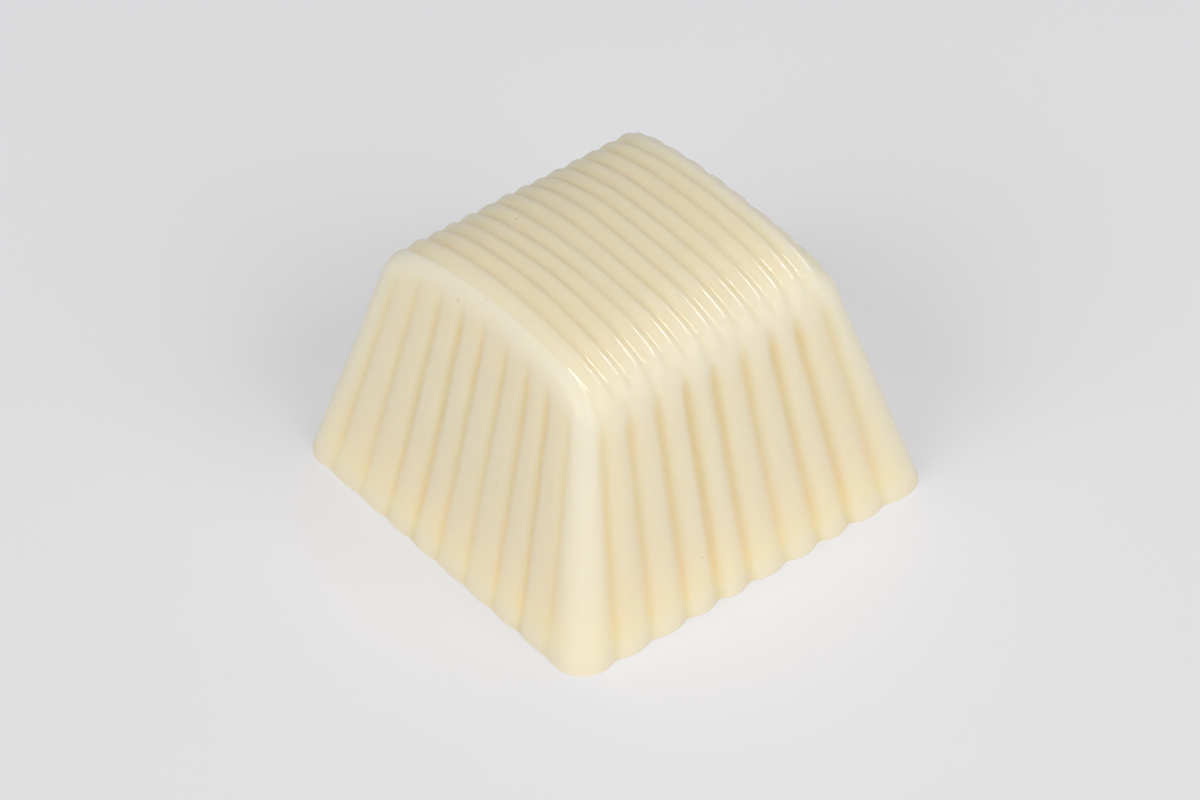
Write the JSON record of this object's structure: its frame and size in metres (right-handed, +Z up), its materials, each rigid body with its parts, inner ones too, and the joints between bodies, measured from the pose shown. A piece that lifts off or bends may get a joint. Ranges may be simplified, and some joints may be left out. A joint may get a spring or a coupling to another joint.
{
  "type": "white chocolate sweet",
  "caption": "Moulded ivory chocolate sweet: a tapered square block with ribbed sides and an arched, ribbed top, resting on its flat foot.",
  "frame": {"origin": "middle of the flat foot, on the surface the sweet rests on", "axes": "+Z up through the sweet; the ribs of the top run along X, over the arch; Y is across them"},
  "size_m": [0.027, 0.027, 0.0174],
  "materials": {
    "ivory_chocolate": "satin ivory chocolate, slightly translucent"
  },
  "bodies": {
    "root": {"sweet": "ivory_chocolate"}
  },
  "joints": []
}
